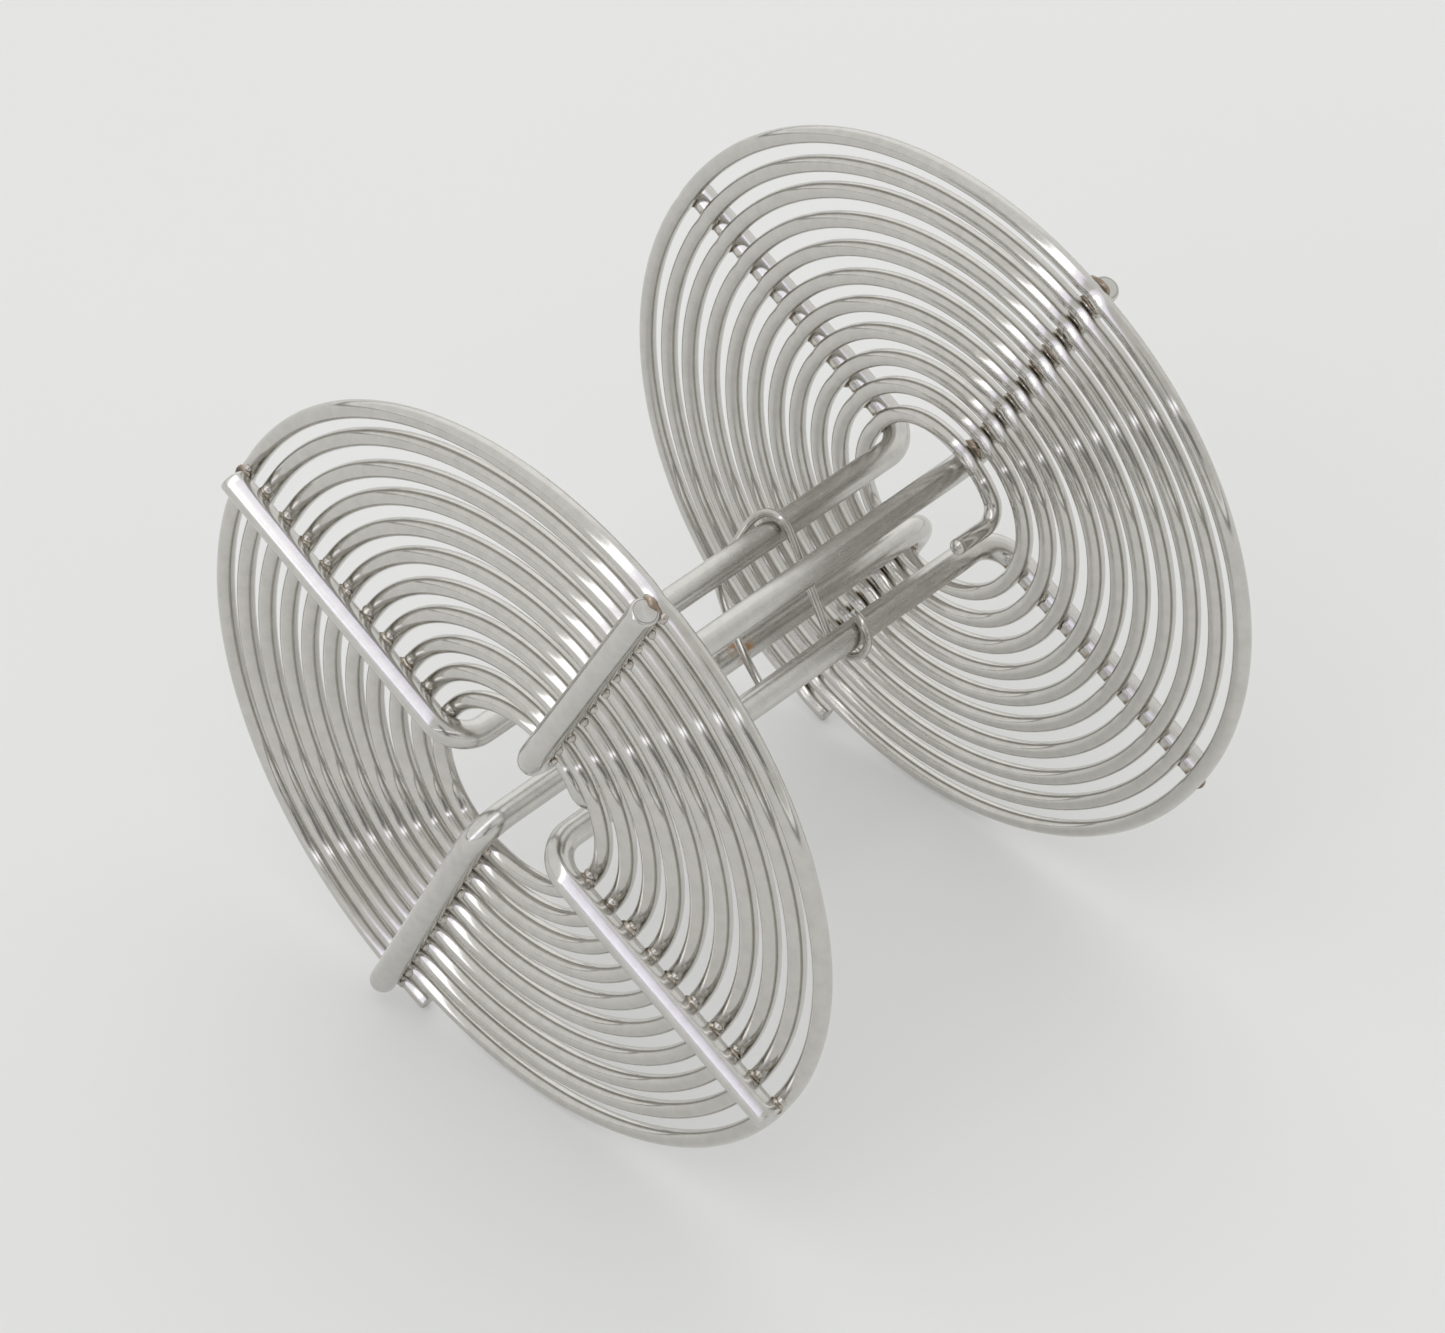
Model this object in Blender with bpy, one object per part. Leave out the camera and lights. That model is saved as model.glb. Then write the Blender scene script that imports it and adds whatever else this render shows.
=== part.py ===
"""Wire developing reel for 61.5 mm roll film, modelled in metres with +Z up.

Two flat wire spirals face each other across the film's width. Four thick
rods, each bent to a U, carry them: a spoke across the outer face of the front
spiral, a straight run along the core, and a spoke across the outer face of the
rear spiral. A thin spring-wire clip sits in the core, looped over one rod and
hooked round the opposite rod.

The reel's axis is horizontal, along Y, with the front spiral at -Y. It lies on
its rims, and the origin is the centre of the bounding box's bottom.
"""
import math

import bmesh
import bpy
from mathutils import Matrix, Quaternion, Vector

# ---- driving dimensions (metres, degrees) ---------------------------------
SPIRAL_WIRE = 0.00185       # spiral wire diameter
ROD_WIRE = 0.0029           # core rod diameter
CLIP_WIRE = 0.0009          # film clip wire diameter
WELD_GAP = 0.0002           # clearance kept between spiral wire and spoke

OUTER_RADIUS = 0.0423       # spiral centreline where it crosses the first spoke
PITCH = 0.00314             # radial step for each turn
BULGE = 0.0002              # the turns are drawn in at the spokes by this much
HALF_SPACING = 0.03092      # mid-plane of the reel to each spiral's plane
STUB_ANGLE = 5.8            # outer end runs on past the first spoke
TURNS = 10.595              # from the first spoke to the start of the inner bend
TAIL_BEND = 0.0022          # centreline radius of the inner end's bend
TAIL_LENGTH = 0.0070        # reach of the inner end from the spiral's plane
TUCK = 0.00070              # the last quarter turn sinks into the rods' bends
TUCK_START = 10.28          # turn at which it starts to sink

CORE_RADIUS = 0.0067        # reel axis to each core rod's centreline
ROD_BEND = 0.0035           # centreline radius of the rods' bends
SPOKE_PLANE = HALF_SPACING + SPIRAL_WIRE / 2 + WELD_GAP + ROD_WIRE / 2

# Spoke directions seen from the front, anticlockwise from +X, and tip radii,
# of each rod's front spoke and then of its rear spoke.
SPOKES = {
    "lower_left": (243.2, 0.0420, 243.2, 0.0420),
    "upper_left": (151.4, 0.0415, 151.4, 0.0415),
    "upper_right": (60.7, 0.0411, 62.2, 0.0399),
    "lower_right": (-27.6, 0.0405, -27.6, 0.0399),
}
CLIP_LOOP = 0.0023          # clip centreline radius round a rod's centre
CLIP_REAR_Y = 0.0123        # where the rear leg leaves the upper-left rod
CLIP_HOOK_Y = 0.0100        # where the rear leg reaches the lower-right rod
CLIP_FRONT_Y = 0.0046       # where the front leg leaves the upper-left rod
CLIP_END_Y = -0.0002        # where the front leg reaches the lower-right rod
CLIP_EASE = 3.2             # the loop runs nearly square over the rod, then forwards
CLIP_BOW = 0.0006           # sideways bow of the front leg

CHORD_ERROR = 0.00013       # largest gap between a spiral's chords and its arc
# ---------------------------------------------------------------------------


def clear_scene():
    for obj in list(bpy.data.objects):
        bpy.data.objects.remove(obj, do_unlink=True)
    for mesh in list(bpy.data.meshes):
        bpy.data.meshes.remove(mesh)


def steel(name, colour, roughness):
    mat = bpy.data.materials.new(name)
    mat.use_nodes = True
    bsdf = mat.node_tree.nodes["Principled BSDF"]
    bsdf.inputs["Base Color"].default_value = (*colour, 1.0)
    bsdf.inputs["Metallic"].default_value = 1.0
    bsdf.inputs["Roughness"].default_value = roughness
    return mat


def polar(radius, degrees, y):
    a = math.radians(degrees)
    return Vector((radius * math.cos(a), y, radius * math.sin(a)))


def arc(centre, start, end, steps):
    """Points of a circular arc from start to end, both on a circle round centre."""
    a, b = start - centre, end - centre
    axis = a.cross(b).normalized()
    angle = a.angle(b)
    return [centre + Quaternion(axis, angle * i / steps) @ a for i in range(steps + 1)]


def join_path(*runs):
    """One list of points, with repeated points at the joins left out."""
    out = []
    for run in runs:
        for p in run:
            if not out or (p - out[-1]).length > 1e-6:
                out.append(p)
    return out


def wire(name, path, diameter, sides, facing, material):
    """A closed wire of regular polygon section swept along path.

    The section's flats touch the true round wire. One flat faces along
    `facing` at the start, and the section is carried along without twist.
    """
    apothem = diameter / 2
    radius = apothem / math.cos(math.pi / sides)
    tangents = []
    for i in range(len(path)):
        ahead = (path[min(i + 1, len(path) - 1)] - path[i])
        behind = (path[i] - path[max(i - 1, 0)])
        t = ahead.normalized() if ahead.length > 0 else Vector()
        if behind.length > 0:
            t = t + behind.normalized()
        tangents.append(t.normalized())
    normal = (facing - tangents[0] * facing.dot(tangents[0])).normalized()
    bm = bmesh.new()
    rings = []
    for i, (p, t) in enumerate(zip(path, tangents)):
        if i:
            normal = tangents[i - 1].rotation_difference(t) @ normal
            normal = (normal - t * normal.dot(t)).normalized()
        side = t.cross(normal)
        ring = []
        for k in range(sides):
            a = 2 * math.pi * (k + 0.5) / sides
            ring.append(bm.verts.new(p + (normal * math.cos(a) + side * math.sin(a)) * radius))
        rings.append(ring)
    for a, b in zip(rings, rings[1:]):
        for k in range(sides):
            j = (k + 1) % sides
            bm.faces.new((a[k], a[j], b[j], b[k]))
    bm.faces.new(list(reversed(rings[0])))
    bm.faces.new(rings[-1])
    bmesh.ops.recalc_face_normals(bm, faces=bm.faces)
    mesh = bpy.data.meshes.new(name)
    bm.to_mesh(mesh)
    bm.free()
    mesh.shade_smooth()
    mesh.set_sharp_from_angle(angle=math.radians(50))
    obj = bpy.data.objects.new(name, mesh)
    bpy.context.scene.collection.objects.link(obj)
    mesh.materials.append(material)
    return obj


def spiral_radius(turn):
    """Centreline radius after so many turns from the first spoke."""
    base = OUTER_RADIUS - PITCH * turn
    return base - BULGE * (base / OUTER_RADIUS) * math.cos(2 * math.pi * 4 * turn)


def spiral_path(side):
    """The spiral from its outer stub to the tip of its inner tail.

    side is -1 for the front spiral and +1 for the rear one. The wire runs
    clockwise, seen from the front, as it winds in.
    """
    first = SPOKES["lower_left"][0]

    def at(turn):
        f = min(max((turn - TUCK_START) / (TURNS - TUCK_START), 0.0) * 1.25, 1.0)
        y = side * (HALF_SPACING - TUCK * f * f * (3 - 2 * f))
        return polar(spiral_radius(turn), first - 360 * turn, y)

    turn, points = -STUB_ANGLE / 360, []
    while turn < TURNS:
        points.append(at(turn))
        turn += 2 * math.acos(1 - CHORD_ERROR / spiral_radius(turn)) / (2 * math.pi)
    end = at(TURNS)
    if (points[-1] - end).length < 0.0006:
        points.pop()
    along = (end - at(TURNS - 0.002)).normalized()
    inward = Vector((0, -side, 0))
    centre = end + inward * TAIL_BEND
    bend = arc(centre, end, centre + along * TAIL_BEND, 4)
    tip = bend[-1] + inward * (TAIL_LENGTH - TAIL_BEND)
    return join_path(points, bend, [tip])


def rod_path(name):
    """U-shaped rod: front spoke tip, core, rear spoke tip."""
    front, front_tip, rear, rear_tip = SPOKES[name]
    path = [polar(front_tip, front, -SPOKE_PLANE)]
    for side, degrees in ((-1, front), (1, rear)):
        flat = polar(CORE_RADIUS + ROD_BEND, degrees, side * SPOKE_PLANE)
        core = polar(CORE_RADIUS, degrees, side * (SPOKE_PLANE - ROD_BEND))
        centre = polar(CORE_RADIUS + ROD_BEND, degrees, side * (SPOKE_PLANE - ROD_BEND))
        path += arc(centre, flat, core, 6) if side < 0 else arc(centre, core, flat, 6)
    path.append(polar(rear_tip, rear, SPOKE_PLANE))
    return path


def clip_path():
    """Thin wire: hook round the lower-right rod, rear leg, loop over the
    upper-left rod, front leg, and a short end tucked behind the lower-right rod."""
    up = SPOKES["upper_left"][0]
    low = SPOKES["lower_right"][0]
    c_up, c_low = polar(CORE_RADIUS, up, 0), polar(CORE_RADIUS, low, 0)
    span = (c_low - c_up).length

    def around(centre, start, stop, y0, y1, steps, ease=1.0):
        pts = []
        for i in range(steps + 1):
            f = i / steps
            p = centre + polar(CLIP_LOOP, start + (stop - start) * f, 0)
            p.y = y0 + (y1 - y0) * f ** ease
            pts.append(p)
        return pts

    # The rear leg crosses from the near side of one rod to the far side of the
    # other, so its tangent points are turned by this angle.
    lean = math.degrees(math.asin(2 * CLIP_LOOP / span))
    near, far = up - 90, up + 90
    hook = around(c_low, near + 35, near + 180 - 360 - lean, CLIP_HOOK_Y + 0.0018, CLIP_HOOK_Y, 14)
    loop = around(c_up, near - lean, far, CLIP_REAR_Y, CLIP_FRONT_Y, 12, CLIP_EASE)
    end = around(c_low, far, far + 16, CLIP_END_Y, CLIP_END_Y - 0.0002, 2)

    def leg(a, b, steps, bow):
        return [a.lerp(b, i / steps) + Vector((0, -bow * math.sin(math.pi * i / steps), 0))
                for i in range(1, steps)]

    return join_path(hook, leg(hook[-1], loop[0], 5, 0.0), loop, leg(loop[-1], end[0], 7, CLIP_BOW), end)


def settle(objects):
    """Turn the meshes about the reel axis until the stub ends and the rims
    touch the ground together, then put the origin under the bounding box."""
    for _ in range(4):
        points = [v.co.copy() for obj in objects for v in obj.data.vertices]
        stub = min((c for c in points if c.x < -0.012), key=lambda c: c.z)
        slope = min((c.z - stub.z) / (c.x - stub.x) for c in points if c.x > stub.x + 0.005)
        for obj in objects:
            obj.data.transform(Matrix.Rotation(math.atan(slope), 4, "Y"))
    corners = [v.co for obj in objects for v in obj.data.vertices]
    low = Vector([min(c[i] for c in corners) for i in range(3)])
    high = Vector([max(c[i] for c in corners) for i in range(3)])
    for obj in objects:
        obj.location = (-(low.x + high.x) / 2, -(low.y + high.y) / 2, -low.z)


def build():
    clear_scene()
    bright = steel("spiral_wire_steel", (0.62, 0.60, 0.57), 0.18)
    rod = steel("core_rod_steel", (0.66, 0.64, 0.61), 0.16)
    spring = steel("clip_spring_steel", (0.55, 0.53, 0.50), 0.20)

    objects = []
    for name, side in (("front_spiral", -1), ("rear_spiral", 1)):
        path = spiral_path(side)
        objects.append(wire(name, path, SPIRAL_WIRE, 8, Vector((0, 1, 0)), bright))
    for name in SPOKES:
        objects.append(wire("core_rod_" + name, rod_path(name), ROD_WIRE, 10, Vector((0, -1, 0)), rod))
    objects.append(wire("film_clip", clip_path(), CLIP_WIRE, 8, Vector((0, 1, 0)), spring))

    settle(objects)


build()
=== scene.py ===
"""Looks of the wire developing reel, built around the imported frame.

Every wire is rebuilt as a fine round sweep at the place its CAD solid holds,
with the welds, cut ends and drawing marks that the faceted solids leave out.
All lengths are in metres; the reel's own coordinates have their origin at the
reel's centre, Y along its axis and polar angles measured from +X towards +Z.
"""
import math
import random

import bpy
import numpy as np
from mathutils import Matrix, Vector


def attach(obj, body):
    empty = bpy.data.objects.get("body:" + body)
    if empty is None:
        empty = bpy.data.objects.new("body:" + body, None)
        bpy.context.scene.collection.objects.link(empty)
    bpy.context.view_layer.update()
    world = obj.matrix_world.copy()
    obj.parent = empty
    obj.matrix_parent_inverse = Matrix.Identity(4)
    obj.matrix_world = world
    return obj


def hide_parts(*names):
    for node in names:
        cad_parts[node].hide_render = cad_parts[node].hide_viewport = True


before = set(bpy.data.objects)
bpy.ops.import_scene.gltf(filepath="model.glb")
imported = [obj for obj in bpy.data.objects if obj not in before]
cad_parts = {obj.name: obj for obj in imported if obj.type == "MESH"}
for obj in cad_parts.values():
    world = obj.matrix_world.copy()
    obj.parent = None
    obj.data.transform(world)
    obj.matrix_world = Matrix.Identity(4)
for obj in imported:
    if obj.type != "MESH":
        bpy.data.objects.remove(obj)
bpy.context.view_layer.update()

MM = 0.001
rng = random.Random(7)

# ---- the reel's measures, as in the CAD model ------------------------------
SPIRAL_R = 0.925 * MM
ROD_R = 1.45 * MM
CLIP_R = 0.45 * MM
OUTER = 42.3 * MM
PITCH = 3.14 * MM
HALF = 30.92 * MM
STUB = 6.2
TURNS = 10.595
TAIL_BEND = 2.2 * MM
TAIL_LENGTH = 7.0 * MM
TUCK, TUCK_START = 0.70 * MM, 10.28
CORE = 6.7 * MM
ROD_BEND = 3.7 * MM
SPOKE_Y = HALF + SPIRAL_R + ROD_R - 0.12 * MM     # the welds sink the wire a little into the spoke
# Direction and tip radius of each rod's front spoke (-1) and rear spoke (+1).
SPOKES = {"lower_left": {-1: (243.2, 42.0 * MM), 1: (243.2, 42.0 * MM)},
          "upper_left": {-1: (151.4, 41.5 * MM), 1: (151.4, 41.5 * MM)},
          "upper_right": {-1: (60.7, 41.1 * MM), 1: (62.2, 39.9 * MM)},
          "lower_right": {-1: (-27.6, 40.5 * MM), 1: (-27.6, 39.9 * MM)}}

# Where the reel's centre is and how far the reel has rolled, as in the CAD model.
ROLL = 0.684
CENTRE = Vector((0.750374 * MM, 0.0, 40.377699 * MM))


def polar(radius, degrees, y):
    a = math.radians(degrees + ROLL)
    return np.array((radius * math.cos(a), y, radius * math.sin(a)))


# ---- meshes ----------------------------------------------------------------
def set_vector(mesh, name, values):
    data = mesh.attributes.new(name, "FLOAT_VECTOR", "POINT").data
    data.foreach_set("vector", np.asarray(values, np.float32).ravel())


def set_value(mesh, name, values):
    data = mesh.attributes.new(name, "FLOAT", "POINT").data
    data.foreach_set("value", np.asarray(values, np.float32))


def heat_and_shade_from(points, contacts, reach):
    """Heat left at each point by the nearest of the contacts, 0 to 1, which also sets the painted contact shade there.
    """
    weld_heat_and_shade = np.zeros(len(points))
    for c in (contacts if contacts is not None else ()):
        d = np.linalg.norm(points - c, axis=1)
        weld_heat_and_shade = np.maximum(weld_heat_and_shade, np.clip(1 - d / reach, 0, 1))
    return weld_heat_and_shade


def frames(path):
    """Tangents along a path (n, 3)."""
    path = np.asarray(path)
    seg = path[1:] - path[:-1]
    seg /= np.linalg.norm(seg, axis=1)[:, None]
    tan = np.vstack([seg[:1], seg[1:] + seg[:-1], seg[-1:]])
    tan /= np.linalg.norm(tan, axis=1)[:, None]
    return tan


def sweep(name, path, radius, sides, facing, end_edge=0.25, slants=(None, None), round_ends=(False, False),
          radius_scale=None, contacts=None, reach=1.3 * MM, stains=(), satin=None):
    """A closed round wire along path, its ends cut square with a broken edge,
    cut on a slant, or rounded over. Returns the object.

    Its point attributes are wire (cos, sin and length along the wire, in
    millimetres), lay (the direction round the wire), weld (how much heat the
    surface has seen, 0 to 1, and with it the painted contact shade), cap (1 on
    a cut end's face), stain and satin."""
    path = np.asarray(path, float)
    tan = frames(path)
    n0 = np.asarray(facing, float)
    n0 = n0 - tan[0] * n0.dot(tan[0])
    n0 /= np.linalg.norm(n0)
    normals = [n0]
    for i in range(1, len(path)):
        a, b = tan[i - 1], tan[i]
        v = np.cross(a, b)
        c = a.dot(b)
        n = normals[-1]
        if np.linalg.norm(v) > 1e-9:
            n = n * c + np.cross(v, n) + v * (v.dot(n)) / (1 + c)
        n = n - b * n.dot(b)
        normals.append(n / np.linalg.norm(n))
    normals = np.array(normals)
    along = np.concatenate([[0], np.cumsum(np.linalg.norm(path[1:] - path[:-1], axis=1))])

    def end_rings(sign, rounded):
        """(offset along the tangent, radius factor) from the rim inwards."""
        out = []
        if rounded:
            for k in range(1, 8):
                a = math.radians(90 * k / 8)
                out.append((sign * math.sin(a) * 0.85, math.cos(a)))
        else:
            e = end_edge
            for k in range(1, 6):
                a = math.radians(90 * k / 5)
                out.append((sign * math.sin(a) * e, 1 - e + e * math.cos(a)))
            out.append((sign * e * 1.01, (1 - e) * 0.93))
            out.append((sign * e * 1.02, (1 - e) * 0.55))
        return out

    rings, caps = [], []
    first_end, last_end = end_rings(-1, round_ends[0]), end_rings(1, round_ends[1])
    for k in reversed(range(len(first_end))):
        rings.append((0, *first_end[k]))
        caps.append(0.0 if round_ends[0] else (0, 0, 0, 0.1, 0.5, 1, 1)[k])
    for i in range(len(path)):
        rings.append((i, 0.0, 1.0))
        caps.append(0.0)
    for k in range(len(last_end)):
        rings.append((len(path) - 1, *last_end[k]))
        caps.append(0.0 if round_ends[1] else (0, 0, 0, 0.1, 0.5, 1, 1)[k])

    ang = 2 * math.pi * np.arange(sides) / sides
    cos, sin = np.cos(ang), np.sin(ang)
    verts, wire_attr, lay_attr, cap_attr, satin_attr = [], [], [], [], []
    for (i, off, fac), cap in zip(rings, caps):
        t, n = tan[i], normals[i]
        s = np.cross(t, n)
        scale = radius * fac * (radius_scale[i] if radius_scale is not None else 1.0)
        ring = path[i] + t * (off * radius) + np.outer(cos, n) * scale + np.outer(sin, s) * scale
        for end, slant in ((0, slants[0]), (len(path) - 1, slants[1])):
            if slant is not None and i == end and (off != 0.0 or True):
                direction, slope = slant
                ring = ring + np.outer((ring - path[i]).dot(np.asarray(direction)) * slope, t)
        verts.append(ring)
        wire_attr.append(np.stack([cos, sin, np.full(sides, (along[i] + off * radius) / MM)], 1))
        lay_attr.append(np.outer(-sin, n) + np.outer(cos, s))
        cap_attr.append(np.full(sides, cap))
        satin_attr.append(np.full(sides, satin[i] if satin is not None else 0.5))
    count = len(verts)
    verts = np.concatenate(verts)
    a_end, b_end = path[0] + tan[0] * (-(0.85 if round_ends[0] else end_edge * 1.02) * radius), \
        path[-1] + tan[-1] * ((0.85 if round_ends[1] else end_edge * 1.02) * radius)
    verts = np.vstack([verts, a_end[None], b_end[None]])
    idx = np.arange(count - 1)[:, None] * sides
    k = np.arange(sides)[None, :]
    j = (k + 1) % sides
    quads = np.stack([idx + k, idx + j, idx + sides + j, idx + sides + k], 2).reshape(-1, 4)
    faces = [tuple(int(v) for v in q) for q in quads]
    top, bottom = count * sides, count * sides + 1
    last = (count - 1) * sides
    for q in range(sides):
        faces.append((top, (q + 1) % sides, q))
        faces.append((bottom, last + q, last + (q + 1) % sides))
    mesh = bpy.data.meshes.new(name)
    mesh.from_pydata((verts + np.array(CENTRE)).tolist(), [], faces)
    wire_attr = np.vstack(wire_attr + [np.array([[0, 0, along[0] / MM], [0, 0, along[-1] / MM]])])
    lay_attr = np.vstack(lay_attr + [normals[:1], normals[-1:]])
    ends_flat = np.array([0.0 if round_ends[0] else 1.0, 0.0 if round_ends[1] else 1.0])
    cap_attr = np.concatenate(cap_attr + [ends_flat])
    satin_attr = np.concatenate(satin_attr + [np.array([0.5, 0.5])])
    set_vector(mesh, "wire", wire_attr)
    set_vector(mesh, "lay", lay_attr)
    set_value(mesh, "weld", heat_and_shade_from(verts, contacts, reach))
    set_value(mesh, "cap", cap_attr)
    set_value(mesh, "satin", satin_attr)
    stain = np.zeros(len(verts))
    for centre, size in stains:
        stain = np.maximum(stain, np.clip(1 - np.linalg.norm(verts - centre, axis=1) / size, 0, 1))
    set_value(mesh, "stain", stain)
    mesh.validate()
    mesh.shade_smooth()
    mesh.set_sharp_from_angle(angle=math.radians(60))
    obj = bpy.data.objects.new(name, mesh)
    bpy.context.scene.collection.objects.link(obj)
    return obj


def smooth01(x):
    x = min(max(x, 0.0), 1.0)
    return x * x * (3 - 2 * x)


def arc(centre, start, end, steps):
    a, b = np.asarray(start) - centre, np.asarray(end) - centre
    w = math.acos(max(-1, min(1, a.dot(b) / np.linalg.norm(a) / np.linalg.norm(b))))
    return [centre + (a * math.sin(w * (1 - i / steps)) + b * math.sin(w * i / steps)) / math.sin(w)
            for i in range(steps + 1)]


def join_path(*runs):
    out = []
    for run in runs:
        for p in run:
            if not out or np.linalg.norm(p - out[-1]) > 2e-6:
                out.append(np.asarray(p))
    return out


# ---- spirals ---------------------------------------------------------------
LL = SPOKES["lower_left"][-1][0]


class Spiral:
    """One wire spiral. side is -1 in front and +1 at the rear. The turns sit
    slightly unevenly, bow out between the welds and kink a little at them."""

    def __init__(self, side, seed):
        self.side = side
        r = random.Random(seed)
        self.jog = {}
        self.turns = {name: ((LL - ends[side][0]) % 360) / 360 for name, ends in SPOKES.items()}
        for name, base in self.turns.items():
            for n in range(-1, 13):
                self.jog[round(base + n, 6)] = (r.gauss(0, 0.07) * MM, r.gauss(0, 0.03) * MM, r.gauss(0, 0.06) * MM)
        self.keys = sorted(self.jog)
        self.swing = [r.uniform(0.75, 1.25) for _ in self.keys]

    def offsets(self, turn):
        """Radial and axial offset at a turn: even between the welds on either side."""
        k = 0
        while k + 2 < len(self.keys) and self.keys[k + 1] < turn:
            k += 1
        a, b = self.keys[k], self.keys[k + 1]
        f = (turn - a) / (b - a)
        ja, jb = self.jog[a], self.jog[b]
        s = smooth01(f)
        bow = math.sqrt(math.sin(math.pi * min(max(f, 0), 1)) ** 2 + 0.004) * self.swing[k]
        away = min(abs(turn - a), abs(b - turn)) * 2 * math.pi * (OUTER - PITCH * turn)
        dip = math.exp(-(away / (1.0 * MM)) ** 2)
        return (ja[0] * (1 - s) + jb[0] * s, bow, ja[1] * (1 - s) + jb[1] * s + 0.18 * MM * dip,
                (ja[2] if k % 2 else -ja[2]))

    def radius(self, turn):
        base = OUTER - PITCH * turn
        jog, bow, _, _ = self.offsets(turn)
        return base - 0.20 * MM + jog + 0.36 * MM * bow * (0.35 + 0.65 * base / OUTER)

    def point(self, turn):
        f = min(max((turn - TUCK_START) / (TURNS - TUCK_START), 0.0) * 1.25, 1.0)
        _, bow, dy, lift = self.offsets(turn)
        y = HALF - TUCK * f * f * (3 - 2 * f) + dy - lift * bow
        return polar(self.radius(turn), LL - 360 * turn, self.side * y)

    def path(self):
        turn, pts = -STUB / 360, []
        while turn < TURNS:
            pts.append(self.point(turn))
            turn += 0.65 * MM / (2 * math.pi * max(self.radius(turn), 8 * MM))
        end = self.point(TURNS)
        if np.linalg.norm(pts[-1] - end) < 0.3 * MM:
            pts.pop()
        along = end - self.point(TURNS - 0.0015)
        along /= np.linalg.norm(along)
        inward = np.array((0, -self.side, 0.0))
        inward = inward - along * inward.dot(along)
        inward /= np.linalg.norm(inward)
        centre = end + inward * TAIL_BEND
        bend = arc(centre, end, centre + along * TAIL_BEND, 14)
        reach = TAIL_LENGTH - TAIL_BEND - 0.85 * SPIRAL_R
        tail = [bend[-1] + inward * reach * i / 8 for i in range(1, 9)]
        return join_path(pts, bend, tail)

    def crossings(self):
        """(spoke name, turn) of every weld."""
        out = []
        for name, base in self.turns.items():
            n = 0
            while base + n < TURNS - 0.01:
                turn = base + n
                if self.radius(turn) < SPOKES[name][self.side][1] + 0.9 * MM and self.radius(turn) > 8.2 * MM:
                    out.append((name, turn))
                n += 1
        return out


SCORCH_AND_SHADE_SHIFT = np.array((-0.35 * MM, 0.0, -0.30 * MM))      # the heat tint and the painted contact shade sit low and to the left of a weld


def contact_points(side, name=None):
    """Where the turns touch the spokes on one side, nudged towards the heat tint and painted contact shade."""
    return [p + np.array((0, side * SPIRAL_R, 0)) + SCORCH_AND_SHADE_SHIFT
            for n, _, p in weld_points[side] if name in (None, n)]


spirals, spiral_objects, weld_points = {}, [], {}
for name, side, seed in (("front_spiral", -1, 11), ("rear_spiral", 1, 23)):
    sp = Spiral(side, seed)
    path = sp.path()
    crossings = sp.crossings()
    weld_points[side] = [(n, t, sp.point(t)) for n, t in crossings]
    obj = sweep(name + "_wire", path, SPIRAL_R, 20, (0, 1, 0), end_edge=0.22,
                round_ends=(False, True), contacts=contact_points(side), reach=1.5 * MM)
    spirals[side] = sp
    spiral_objects.append((obj, name))

# ---- rods ------------------------------------------------------------------
rod_objects = []
for name, ends in SPOKES.items():
    pts = []
    edge = 0.2 * ROD_R
    for side in (-1, 1):
        deg, tip = ends[side]
        c = polar(CORE + ROD_BEND, deg, side * (SPOKE_Y - ROD_BEND))
        flat = polar(CORE + ROD_BEND, deg, side * SPOKE_Y)
        core = polar(CORE, deg, side * (SPOKE_Y - ROD_BEND))
        end = polar(tip - edge, deg, side * SPOKE_Y)
        spoke = [flat + (end - flat) * i / 50 for i in range(51)]
        bend = arc(c, flat, core, 20)
        if side < 0:
            pts.append(spoke[::-1] + bend)
        else:
            pts.append(bend[::-1] + spoke)
    a, b = pts[0][-1], pts[1][0]
    mid = [a + (b - a) * i / 60 for i in range(1, 60)]
    path = join_path(pts[0], mid, pts[1])
    satin = [1 - smooth01((abs(p[1]) - HALF + 1 * MM) / (4 * MM)) for p in path]
    slants = {"lower_left": ((0, 1, 0), 0.22), "upper_left": ((0, 1, 0), 0.10),
              "upper_right": ((0, -1, 0), 0.05), "lower_right": ((0, 1, 0), -0.06)}
    direction, slope = slants[name]
    stains = [(polar(CORE, LL, 3.25 * MM) + polar(ROD_R, 40, 0), 2.6 * MM)] if name == "lower_left" else ()
    obj = sweep("core_rod_" + name + "_bar", path, ROD_R, 40, (0, -1, 0), end_edge=0.2,
                slants=((direction, slope), (direction, -slope)),
                contacts=contact_points(-1, name) + contact_points(1, name), reach=1.75 * MM,
                stains=stains, satin=satin)
    rod_objects.append((obj, "core_rod_" + name))

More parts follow.
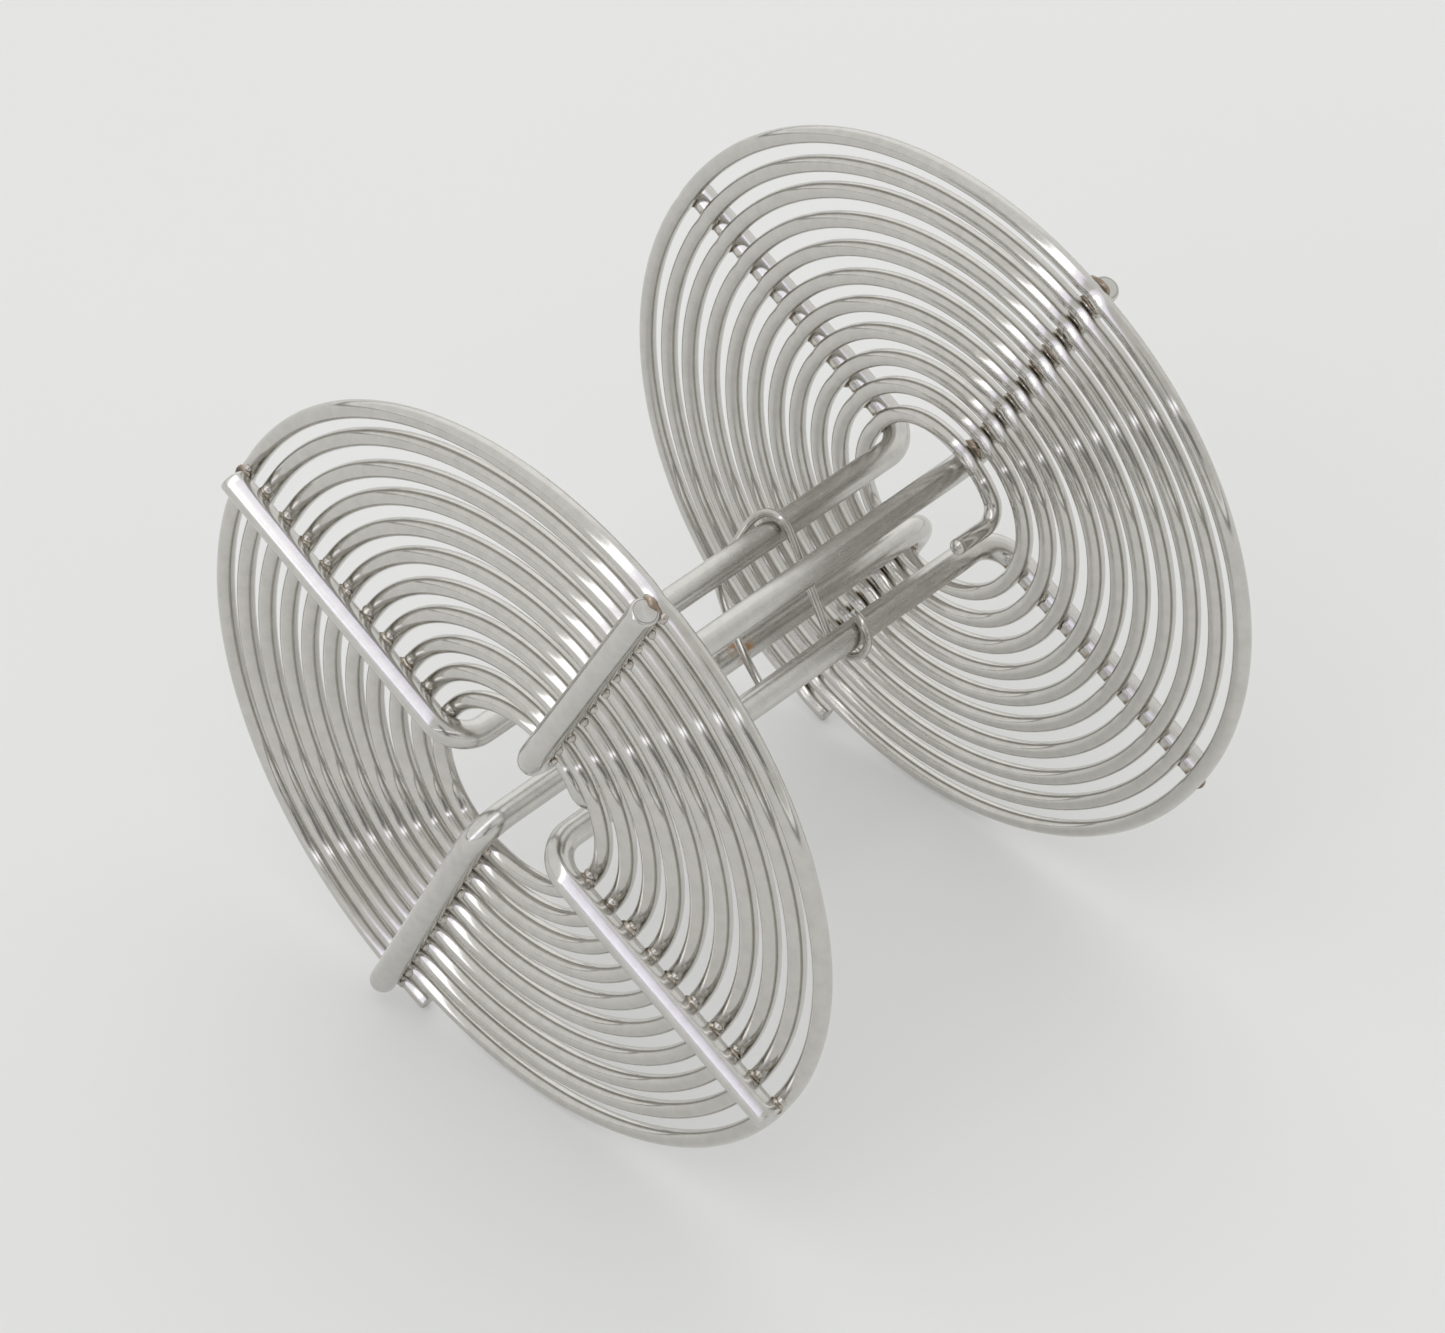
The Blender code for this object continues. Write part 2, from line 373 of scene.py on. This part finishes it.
# ---- welds -----------------------------------------------------------------
def nuggets(name, side, seed):
    """The small upset fillets where each turn is welded to a spoke."""
    r = random.Random(seed)
    verts, faces, wire_attr, lay_attr, scorch_and_shade = [], [], [], [], []
    ring_n, seg_n = 12, 20

    def blob(centre, size, axes, turn, scorch_and_shade_weight, lumpy):
        """One lumpy ellipsoid, added to the mesh."""
        e_r, e_t, e_y = axes
        ar, at, ay = size
        phases = [(r.uniform(0, 6.28), r.uniform(0, 6.28), r.uniform(0.3, 1.0) * lumpy) for _ in range(4)]
        base = len(verts)
        for i in range(ring_n + 1):
            th = math.pi * i / ring_n
            for j in range(seg_n):
                ph = 2 * math.pi * j / seg_n
                lump = 1 + sum(amp * math.sin((q + 2) * ph + a) * math.sin((q + 1) * th + b)
                               for q, (a, b, amp) in enumerate(phases))
                x, y, z = math.sin(th) * math.cos(ph), math.sin(th) * math.sin(ph), math.cos(th)
                verts.append(centre + (e_r * ar * x + e_t * at * y) * lump + e_y * ay * z * lump)
                wire_attr.append((x, y, 3 * z + 7 * turn))
                lay_attr.append(e_t)
                scorch_and_shade.append(scorch_and_shade_weight)
                if i in (0, ring_n):
                    break
        first = base + 1
        for j in range(seg_n):
            k = (j + 1) % seg_n
            faces.append((base, first + j, first + k))
        for i in range(ring_n - 2):
            a0 = first + i * seg_n
            for j in range(seg_n):
                k = (j + 1) % seg_n
                faces.append((a0 + j, a0 + seg_n + j, a0 + seg_n + k, a0 + k))
        last = first + (ring_n - 2) * seg_n
        for j in range(seg_n):
            k = (j + 1) % seg_n
            faces.append((last + j, last + seg_n, last + k))

    for spoke, turn, p in weld_points[side]:
        deg = SPOKES[spoke][side][0]
        e_r = polar(1.0, deg, 0.0)
        e_y = np.array((0, float(side), 0))
        e_t = np.cross(e_r, e_y)
        nugget = p + e_y * (SPIRAL_R - 0.05 * MM) + e_t * r.gauss(0, 0.10) * MM + e_r * r.gauss(0, 0.05) * MM
        size = (r.uniform(0.98, 1.12) * MM, r.uniform(1.22, 1.42) * MM, r.uniform(0.50, 0.60) * MM)
        blob(nugget, size, (e_r, e_t, e_y), turn, 1.0, 0.09)
        # a bright bead of expelled metal on the upper side of the weld
        e_up = e_t if e_t[0] + e_t[2] > 0 else -e_t
        bead = p + e_y * r.uniform(0.50, 0.62) * MM + e_up * r.uniform(1.20, 1.45) * MM + e_r * r.gauss(0, 0.08) * MM
        k = r.uniform(0.46, 0.60) * MM
        # on the rear spiral's upper-left welds the beads take the heat tint and painted dark shade too, which dulls
        # their glints
        bead_scorch_and_shade = 1.0 if side > 0 and spoke == "upper_left" else 0.0
        blob(bead, (k * 1.15, k, k), (e_r, e_t, e_y), turn, bead_scorch_and_shade, 0.03)
    mesh = bpy.data.meshes.new(name)
    mesh.from_pydata((np.array(verts) + np.array(CENTRE)).tolist(), [], faces)
    set_vector(mesh, "wire", wire_attr)
    set_vector(mesh, "lay", lay_attr)
    set_value(mesh, "weld", heat_and_shade_from(np.array(verts), contact_points(side), 2.3 * MM) * np.array(scorch_and_shade))
    set_value(mesh, "cap", np.zeros(len(verts)))
    set_value(mesh, "stain", np.zeros(len(verts)))
    set_value(mesh, "satin", np.full(len(verts), 0.5))
    mesh.validate()
    mesh.shade_smooth()
    obj = bpy.data.objects.new(name, mesh)
    bpy.context.scene.collection.objects.link(obj)
    return obj


weld_objects = [nuggets("weld_nuggets_front", -1, 31), nuggets("weld_nuggets_rear", 1, 37)]

# ---- film clip -------------------------------------------------------------
CLIP_LOOP = 2.3 * MM
CLIP_REAR_Y, CLIP_HOOK_Y = 12.3 * MM, 10.0 * MM
CLIP_FRONT_Y, CLIP_END_Y, CLIP_BOW, CLIP_EASE = 4.6 * MM, -0.2 * MM, 0.6 * MM, 3.2


def clip_path():
    up, low = SPOKES["upper_left"][-1][0], SPOKES["lower_right"][-1][0]
    c_up, c_low = polar(CORE, up, 0), polar(CORE, low, 0)
    span = np.linalg.norm(c_low - c_up)

    def around(centre, start, stop, y0, y1, steps, ease=1.0):
        pts = []
        for i in range(steps + 1):
            f = i / steps
            p = centre + polar(CLIP_LOOP, start + (stop - start) * f, 0)
            p[1] = y0 + (y1 - y0) * f ** ease
            pts.append(p)
        return pts

    lean = math.degrees(math.asin(2 * CLIP_LOOP / span))
    near, far = up - 90, up + 90
    hook = around(c_low, near + 35, near + 180 - 360 - lean, CLIP_HOOK_Y + 1.8 * MM, CLIP_HOOK_Y, 40)
    loop = around(c_up, near - lean, far, CLIP_REAR_Y, CLIP_FRONT_Y, 36, CLIP_EASE)
    end = around(c_low, far, far + 14, CLIP_END_Y, CLIP_END_Y - 0.2 * MM, 6)

    def leg(a, b, steps, bow):
        return [a + (b - a) * i / steps + np.array((0, -bow * math.sin(math.pi * i / steps), 0))
                for i in range(1, steps)]

    pts = np.array(join_path(hook, leg(hook[-1], loop[0], 24, 0.0), loop, leg(loop[-1], end[0], 26, CLIP_BOW), end))
    for _ in range(6):
        pts[1:-1] = 0.25 * pts[:-2] + 0.5 * pts[1:-1] + 0.25 * pts[2:]
    return pts


clip = sweep("film_clip_wire", clip_path(), CLIP_R, 20, (0, 1, 0), end_edge=0.3, round_ends=(True, True))


# ---- materials -------------------------------------------------------------
def node(tree, kind, **values):
    n = tree.nodes.new(kind)
    for k, v in values.items():
        if k in n.inputs:
            n.inputs[k].default_value = v
        else:
            setattr(n, k, v)
    return n


def drawn_steel(name, colour, dark, rough, aniso, scratch):
    """Drawn and tumbled stainless: die lines that spread the light round the
    wire, small nicks, a soft mottling, straw to brown heat colour at the welds
    that deepens into painted near-black contact shade, plain satin cut ends
    with a dark burr line, and the odd rust stain."""
    mat = bpy.data.materials.new(name)
    mat.use_nodes = True
    t = mat.node_tree
    link = t.links.new
    bsdf = t.nodes["Principled BSDF"]
    bsdf.inputs["Metallic"].default_value = 1.0
    bsdf.inputs["Anisotropic"].default_value = aniso
    wire = node(t, "ShaderNodeAttribute", attribute_name="wire")
    lay = node(t, "ShaderNodeAttribute", attribute_name="lay")
    weld_heat_and_shade = node(t, "ShaderNodeAttribute", attribute_name="weld")
    cap = node(t, "ShaderNodeAttribute", attribute_name="cap")
    stain = node(t, "ShaderNodeAttribute", attribute_name="stain")
    satin = node(t, "ShaderNodeAttribute", attribute_name="satin")
    position = node(t, "ShaderNodeNewGeometry")
    link(lay.outputs["Vector"], bsdf.inputs["Tangent"])

    def math_node(op, a, b=None, c=None, clamp=False):
        n = node(t, "ShaderNodeMath", operation=op, use_clamp=clamp)
        for i, v in enumerate((a, b, c)):
            if isinstance(v, (int, float)):
                n.inputs[i].default_value = v
            elif v is not None:
                link(v, n.inputs[i])
        return n.outputs[0]

    def ranged(value, a, b, c, d, smooth=False):
        n = node(t, "ShaderNodeMapRange", interpolation_type="SMOOTHSTEP" if smooth else "LINEAR")
        for key, v in zip(("From Min", "From Max", "To Min", "To Max"), (a, b, c, d)):
            n.inputs[key].default_value = v
        link(value, n.inputs["Value"])
        return n.outputs[0]

    def mix(a, b, factor):
        n = node(t, "ShaderNodeMix", data_type="RGBA")
        for key, v in (("A", a), ("B", b)):
            if isinstance(v, tuple):
                n.inputs[key].default_value = (*v, 1)
            else:
                link(v, n.inputs[key])
        link(factor, n.inputs["Factor"])
        return n.outputs["Result"]

    # die lines: noise squeezed round the wire and stretched along it
    stretch = node(t, "ShaderNodeVectorMath", operation="MULTIPLY")
    stretch.inputs[1].default_value = (11.0, 11.0, 0.16)
    link(wire.outputs["Vector"], stretch.inputs[0])
    lines = node(t, "ShaderNodeTexNoise", Scale=1.0, Detail=5.0, Roughness=0.66)
    link(stretch.outputs[0], lines.inputs["Vector"])

    # mottling, nicks and fine speckle at their real size
    mottle = node(t, "ShaderNodeTexNoise", Scale=700.0, Detail=4.0, Roughness=0.6)
    link(position.outputs["Position"], mottle.inputs["Vector"])
    nick_shape = node(t, "ShaderNodeVectorMath", operation="MULTIPLY")
    nick_shape.inputs[1].default_value = (2.6, 2.6, 1.3)
    link(wire.outputs["Vector"], nick_shape.inputs[0])
    nicks = node(t, "ShaderNodeTexVoronoi", Scale=1.0, Randomness=1.0)
    link(nick_shape.outputs[0], nicks.inputs["Vector"])
    nick_mask = ranged(nicks.outputs["Distance"], 0.13, 0.02, 0, 1, True)

    base = mix(dark, colour, ranged(mottle.outputs["Fac"], 0.34, 0.60, 0, 1))
    base = mix(base, (0.36, 0.34, 0.31), math_node("MULTIPLY", nick_mask, 0.35))

    # heat colour, ragged at its edge: straw and brown heat tint, deepening into painted near-black shade in the corner
    # where wire meets spoke
    ragged = math_node("MULTIPLY_ADD", mottle.outputs["Fac"], 0.8, -0.40)
    scorch_and_shade = math_node("MULTIPLY", weld_heat_and_shade.outputs["Fac"],
                    math_node("ADD", math_node("MULTIPLY", weld_heat_and_shade.outputs["Fac"], 1.35), ragged, clamp=True), clamp=True)
    # the ramp's straw and brown stops are heat tint; its darkest stops are painted contact shade
    heat_and_shade_ramp = node(t, "ShaderNodeValToRGB")
    els = heat_and_shade_ramp.color_ramp.elements
    els[0].position, els[0].color = 0.0, (*colour, 1)
    els[1].position, els[1].color = 1.0, (0.032, 0.024, 0.020, 1)
    for pos, col in ((0.08, (0.52, 0.46, 0.37, 1)), (0.18, (0.30, 0.235, 0.18, 1)), (0.36, (0.105, 0.078, 0.062, 1))):
        e = els.new(pos)
        e.color = col
    link(scorch_and_shade, heat_and_shade_ramp.inputs["Fac"])
    base = mix(base, heat_and_shade_ramp.outputs["Color"], ranged(scorch_and_shade, 0.02, 0.14, 0, 0.96, True))

    # cut ends and stain
    ring = math_node("MULTIPLY", ranged(cap.outputs["Fac"], 0.05, 0.35, 0, 1, True),
                     ranged(cap.outputs["Fac"], 0.95, 0.60, 0, 1, True))
    base = mix(base, (0.56, 0.555, 0.53), ranged(cap.outputs["Fac"], 0.6, 1.0, 0, 0.8))
    base = mix(base, (0.16, 0.15, 0.14), math_node("MULTIPLY", ring, 0.55))
    rust = math_node("MULTIPLY", ranged(stain.outputs["Fac"], 0.15, 0.7, 0, 1, True),
                     ranged(mottle.outputs["Fac"], 0.42, 0.60, 0, 1, True))
    base = mix(base, (0.50, 0.235, 0.065), math_node("MULTIPLY", rust, 0.9))
    link(base, bsdf.inputs["Base Color"])

    # roughness: duller along the rods' core than on their worn spokes, and at the welds, on nicks and cut ends
    r = ranged(lines.outputs["Fac"], 0.35, 0.70, rough - 0.02, rough + 0.04)
    r = math_node("MULTIPLY_ADD", satin.outputs["Fac"], 0.12, math_node("ADD", r, -0.06))
    r = math_node("MULTIPLY_ADD", nick_mask, 0.12, r)
    r = math_node("MULTIPLY_ADD", scorch_and_shade, 0.25, r)
    r = math_node("MULTIPLY_ADD", cap.outputs["Fac"], 0.12, r)
    r = math_node("MULTIPLY_ADD", rust, 0.25, r, clamp=True)
    link(r, bsdf.inputs["Roughness"])

    # relief: die lines, then nicks, then the crust at the welds
    height = math_node("MULTIPLY_ADD", nick_mask, -0.7, lines.outputs["Fac"])
    bump = node(t, "ShaderNodeBump", Strength=1.0, Distance=scratch)
    link(height, bump.inputs["Height"])
    crust = node(t, "ShaderNodeTexNoise", Scale=3000.0, Detail=4.0, Roughness=0.6)
    link(position.outputs["Position"], crust.inputs["Vector"])
    crust_h = math_node("MULTIPLY", crust.outputs["Fac"], scorch_and_shade)
    bump2 = node(t, "ShaderNodeBump", Strength=0.8, Distance=0.00012)
    link(crust_h, bump2.inputs["Height"])
    link(bump.outputs["Normal"], bump2.inputs["Normal"])
    link(bump2.outputs["Normal"], bsdf.inputs["Normal"])
    return mat


spiral_mat = drawn_steel("spiral_wire_drawn", (0.625, 0.612, 0.580), (0.575, 0.562, 0.530), 0.14, 0.85, 0.0000022)
rod_mat = drawn_steel("core_rod_drawn", (0.635, 0.625, 0.597), (0.585, 0.575, 0.548), 0.185, 0.60, 0.0000028)
clip_mat = drawn_steel("clip_wire_spring", (0.56, 0.545, 0.51), (0.49, 0.475, 0.445), 0.17, 0.8, 0.0000020)
weld_mat = drawn_steel("weld_nugget_steel", (0.58, 0.555, 0.515), (0.47, 0.44, 0.40), 0.20, 0.2, 0.0000040)


def dress(obj, material, body, slot, *nodes):
    obj.data.materials.clear()
    obj.data.materials.append(material)
    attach(obj, body)
    if nodes:
        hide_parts(*nodes)


for obj, cad in spiral_objects:
    dress(obj, spiral_mat, "reel_frame", "spiral_wire", cad)
for obj, cad in rod_objects:
    dress(obj, rod_mat, "reel_frame", "core_rod", cad)
for obj in weld_objects:
    dress(obj, weld_mat, "reel_frame", "spiral_wire")
dress(clip, clip_mat, "clip", "clip_wire", "film_clip")

# ---- floor -----------------------------------------------------------------
bpy.ops.mesh.primitive_plane_add(size=6.0, location=(0, 0, 0))
floor = bpy.context.object
floor.name = "floor"
floor.location.z = min(0.0, min((o.matrix_world @ v.co).z for o, _ in spiral_objects for v in o.data.vertices)) - 0.00002
fmat = bpy.data.materials.new("floor_paper")
fmat.use_nodes = True
ft = fmat.node_tree
fb = ft.nodes["Principled BSDF"]
fb.inputs["Roughness"].default_value = 0.55
fb.inputs["Specular IOR Level"].default_value = 0.25
fn = node(ft, "ShaderNodeTexNoise", Scale=7.0, Detail=4.0, Roughness=0.5)
fc = node(ft, "ShaderNodeNewGeometry")
ft.links.new(fc.outputs["Position"], fn.inputs["Vector"])
fm = node(ft, "ShaderNodeMix", data_type="RGBA")
fm.inputs["A"].default_value = (0.590, 0.594, 0.586, 1)
fm.inputs["B"].default_value = (0.610, 0.614, 0.606, 1)
ft.links.new(fn.outputs["Fac"], fm.inputs["Factor"])
ft.links.new(fm.outputs["Result"], fb.inputs["Base Color"])
fb.inputs["Emission Color"].default_value = (1.0, 1.0, 0.99, 1)
fb.inputs["Emission Strength"].default_value = 0.20        # the floor glows evenly a little: painted light that thins the reel's shadows on it
floor.data.materials.append(fmat)

# ---- studio light: a bright soft room, darker just above the table edge, ----
# ---- and a low window in front on the left -----------------------------------
world = bpy.data.worlds.new("studio")
bpy.context.scene.world = world
world.use_nodes = True
wt = world.node_tree
wl = wt.links.new
background = wt.nodes["Background"]
direction = node(wt, "ShaderNodeTexCoord")
split = node(wt, "ShaderNodeSeparateXYZ")
wl(direction.outputs["Generated"], split.inputs[0])


def wmath(op, a, b=None, c=None, clamp=False):
    n = wt.nodes.new("ShaderNodeMath")
    n.operation = op
    n.use_clamp = clamp
    for i, v in enumerate((a, b, c)):
        if v is None:
            continue
        if isinstance(v, (int, float)):
            n.inputs[i].default_value = v
        else:
            wl(v, n.inputs[i])
    return n.outputs[0]


def wband(value, low, high, soft):
    """1 between low and high, falling smoothly to 0 over soft outside them."""
    up = wt.nodes.new("ShaderNodeMapRange")
    up.interpolation_type = "SMOOTHSTEP"
    up.inputs["From Min"].default_value = low - soft
    up.inputs["From Max"].default_value = low
    wl(value, up.inputs["Value"])
    down = wt.nodes.new("ShaderNodeMapRange")
    down.interpolation_type = "SMOOTHSTEP"
    down.inputs["From Min"].default_value = high + soft
    down.inputs["From Max"].default_value = high
    wl(value, down.inputs["Value"])
    return wmath("MULTIPLY", up.outputs[0], down.outputs[0])


azimuth = wmath("MULTIPLY", wmath("ARCTAN2", split.outputs["Y"], split.outputs["X"]), 180 / math.pi)
elevation = wmath("MULTIPLY", wmath("ARCSINE", split.outputs["Z"]), 180 / math.pi)


def wmix(base, factor, colour):
    n = wt.nodes.new("ShaderNodeMix")
    n.data_type = "RGBA"
    wl(factor, n.inputs["Factor"])
    if isinstance(base, tuple):
        n.inputs["A"].default_value = (*base, 1)
    else:
        wl(base, n.inputs["A"])
    n.inputs["B"].default_value = (*colour, 1)
    return n.outputs["Result"]


def wspot(az, el, radius, soft):
    """1 inside a round patch of the given radius, falling smoothly over soft degrees."""
    a, e = math.radians(az), math.radians(el)
    n = wt.nodes.new("ShaderNodeVectorMath")
    n.operation = "DOT_PRODUCT"
    wl(direction.outputs["Generated"], n.inputs[0])
    n.inputs[1].default_value = (math.cos(e) * math.cos(a), math.cos(e) * math.sin(a), math.sin(e))
    angle = wmath("MULTIPLY", wmath("ARCCOSINE", n.outputs["Value"]), 180 / math.pi)
    out = wt.nodes.new("ShaderNodeMapRange")
    out.interpolation_type = "SMOOTHSTEP"
    out.inputs["From Min"].default_value = radius + soft
    out.inputs["From Max"].default_value = radius
    wl(angle, out.inputs["Value"])
    return out.outputs[0]


def both(a, b):
    return wmath("MULTIPLY", a, b)


def roll_angle(value_x, value_z):
    """Angle about the reel's axis, 0 towards +X and 90 straight up."""
    return wmath("MULTIPLY", wmath("ARCTAN2", value_z, value_x), 180 / math.pi)


around_y = roll_angle(split.outputs["X"], split.outputs["Z"])
depth = wmath("MULTIPLY", split.outputs["Y"], 100.0)


def ring_about(degrees, centre_angle, half_width, soft):
    """1 on a narrow circle of directions at centre_angle from the given axis."""
    a = math.radians(degrees + ROLL)
    n = wt.nodes.new("ShaderNodeVectorMath")
    n.operation = "DOT_PRODUCT"
    wl(direction.outputs["Generated"], n.inputs[0])
    n.inputs[1].default_value = (-math.sin(a), 0.0, math.cos(a))
    angle = wmath("MULTIPLY", wmath("ARCCOSINE", n.outputs["Value"]), 180 / math.pi)
    return wband(angle, centre_angle - half_width, centre_angle + half_width, soft)


# the room's walls, a dimmer side behind the camera, the ceiling
sky = wmix((0.72, 0.72, 0.71), wband(azimuth, -66, 38, 22), (0.57, 0.57, 0.55))
sky = wmix(sky, wband(azimuth, 112, 155, 25), (0.94, 0.94, 0.93))
sky = wmix(sky, wband(elevation, 74, 200, 14), (0.72, 0.72, 0.72))
# the dark line where the table ends, and the lit wall just above it
sky = wmix(sky, wband(elevation, 5.5, 8.0, 2.5), (0.86, 0.86, 0.85))
sky = wmix(sky, wband(elevation, 1.6, 3.6, 1.2), (0.20, 0.20, 0.195))
# a long panel overhead, running along the reel's axis
sky = wmix(sky, both(wband(around_y, 72.5, 79.0, 1.5), wband(depth, -93, 25, 5)), (1.00, 0.97, 1.17))
sky = wmix(sky, both(wband(around_y, 69.8, 74.0, 1.0), wband(depth, -93, -45, 6)), (1.00, 0.97, 1.17))
sky = wmix(sky, both(wband(around_y, 79.0, 84.0, 7.0), wband(depth, -93, 25, 5)), (1.12, 1.12, 1.16))
upward = wband(split.outputs["Z"], 0.03, 2, 0.03)
sky = wmix(sky, both(ring_about(65.8, 75.5, 3.0, 0.9), both(wband(depth, -96, 10, 4), upward)), (2.1, 2.1, 2.15))
# a window low in front
sky = wmix(sky, both(wband(azimuth, -97, -89, 2), wband(elevation, 5, 22, 4)), (1.22, 1.18, 1.42))
# a thin tube along one side with a dark shelf under it, and the camera
sky = wmix(sky, both(wband(around_y, 20.0, 31.0, 1.5), wband(depth, -96, -32, 4)), (0.20, 0.20, 0.20))
sky = wmix(sky, both(ring_about(43.5, 97.0, 0.9, 0.4), both(wband(depth, -96, -12, 4), upward)), (1.75, 1.75, 1.88))
sky = wmix(sky, both(wband(azimuth, -51, -43, 1.5), wband(elevation, 4, 37, 3)), (0.16, 0.16, 0.16))
sky = wmix(sky, wspot(-47, 40, 3.2, 1.2), (0.03, 0.03, 0.03))
wl(sky, background.inputs["Color"])
background.inputs["Strength"].default_value = 1.18

# ---- camera ----------------------------------------------------------------
d = math.radians(ROLL)


def roll(v):
    x, y, z = v
    return Vector((x * math.cos(d) - z * math.sin(d), y, x * math.sin(d) + z * math.cos(d)))


eye = roll((0.248996, -0.265942, 0.314409)) + CENTRE
look = roll((-0.51647, 0.54804, -0.65796)).normalized()
right = roll((0.72776, 0.68584, 0.0)).normalized()
up = right.cross(look).normalized()
cam_data = bpy.data.cameras.new("camera")
cam_data.sensor_width = 36.0
cam_data.lens = 119.016
cam_data.clip_start, cam_data.clip_end = 0.01, 50.0
cam = bpy.data.objects.new("camera", cam_data)
bpy.context.scene.collection.objects.link(cam)
m = Matrix((( right.x, up.x, -look.x), (right.y, up.y, -look.y), (right.z, up.z, -look.z)))
cam.matrix_world = Matrix.Translation(eye) @ m.to_4x4()
bpy.context.scene.camera = cam
bpy.context.scene.view_settings.view_transform = "Standard"
bpy.context.scene.view_settings.look = "None"
